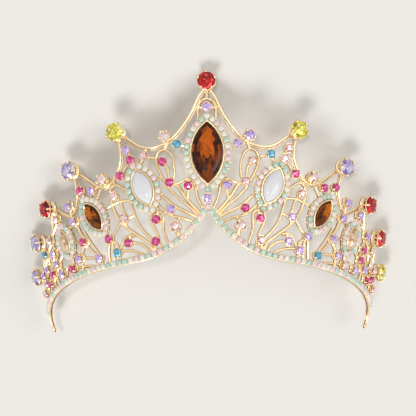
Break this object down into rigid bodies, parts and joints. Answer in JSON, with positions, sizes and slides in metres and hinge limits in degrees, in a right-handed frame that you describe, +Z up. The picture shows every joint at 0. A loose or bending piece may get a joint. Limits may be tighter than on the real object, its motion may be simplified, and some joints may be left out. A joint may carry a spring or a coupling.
{
  "type": "jewelled tiara",
  "caption": "Cast openwork tiara with a pointed middle, navette stones in halos, claw-set peak stones and small round stones, and an eye at each band end.",
  "frame": {"origin": "on the floor under the middle of the overall box, with the tiara lying face up", "axes": "+X runs across the tiara from the picture's right to its left, +Y runs from the top peak to the band ends, +Z is up out of the face"},
  "size_m": [0.1854, 0.1438, 0.0502],
  "materials": {
    "amber_glass": "smoked amber",
    "aqua_glass": "faceted",
    "champagne_glass": "clear champagne",
    "fuchsia_glass": "faceted",
    "gold": "polished warm gold plate",
    "lavender_glass": "faceted",
    "opal": "milky opal glass",
    "pale_rose_glass": "faceted",
    "red_glass": "faceted",
    "rose_glass": "faceted",
    "violet_glass": "faceted",
    "white_glass": "smooth white opal",
    "yellow_glass": "faceted"
  },
  "bodies": {
    "root": {"accent_stones_aqua": "aqua_glass", "accent_stones_fuchsia": "fuchsia_glass", "accent_stones_rose": "rose_glass", "accent_stones_violet": "violet_glass", "halo_opals_amber_left": "opal", "halo_opals_amber_right": "opal", "halo_opals_centre": "opal", "halo_opals_champagne_left": "opal", "halo_opals_champagne_right": "opal", "halo_opals_white_left": "opal", "halo_opals_white_right": "opal", "navette_amber_left": "amber_glass", "navette_amber_right": "amber_glass", "navette_centre": "amber_glass", "navette_champagne_left": "champagne_glass", "navette_champagne_right": "champagne_glass", "navette_white_left": "white_glass", "navette_white_right": "white_glass", "peak_cup_2_left": "gold", "peak_cup_2_right": "gold", "peak_cup_3_left": "gold", "peak_cup_3_right": "gold", "peak_cup_4_left": "gold", "peak_cup_4_right": "gold", "peak_cup_5_left": "gold", "peak_cup_5_right": "gold", "peak_cup_6_left": "gold", "peak_cup_6_right": "gold", "peak_cup_top": "gold", "peak_stone_2_left": "yellow_glass", "peak_stone_2_right": "yellow_glass", "peak_stone_3_left": "lavender_glass", "peak_stone_3_right": "lavender_glass", "peak_stone_4_left": "red_glass", "peak_stone_4_right": "red_glass", "peak_stone_5_left": "lavender_glass", "peak_stone_5_right": "red_glass", "peak_stone_6_left": "lavender_glass", "peak_stone_6_right": "yellow_glass", "peak_stone_top": "red_glass", "raised_cup_1_left": "gold", "raised_cup_1_right": "gold", "raised_cup_2_left": "gold", "raised_cup_2_right": "gold", "raised_cup_3_left": "gold", "raised_cup_3_right": "gold", "raised_stone_1_left": "pale_rose_glass", "raised_stone_1_right": "violet_glass", "raised_stone_2_left": "pale_rose_glass", "raised_stone_2_right": "pale_rose_glass", "raised_stone_3_left": "pale_rose_glass", "raised_stone_3_right": "pale_rose_glass", "rim_opals_left": "opal", "rim_opals_right": "opal", "tiara_frame": "gold"}
  },
  "joints": []
}
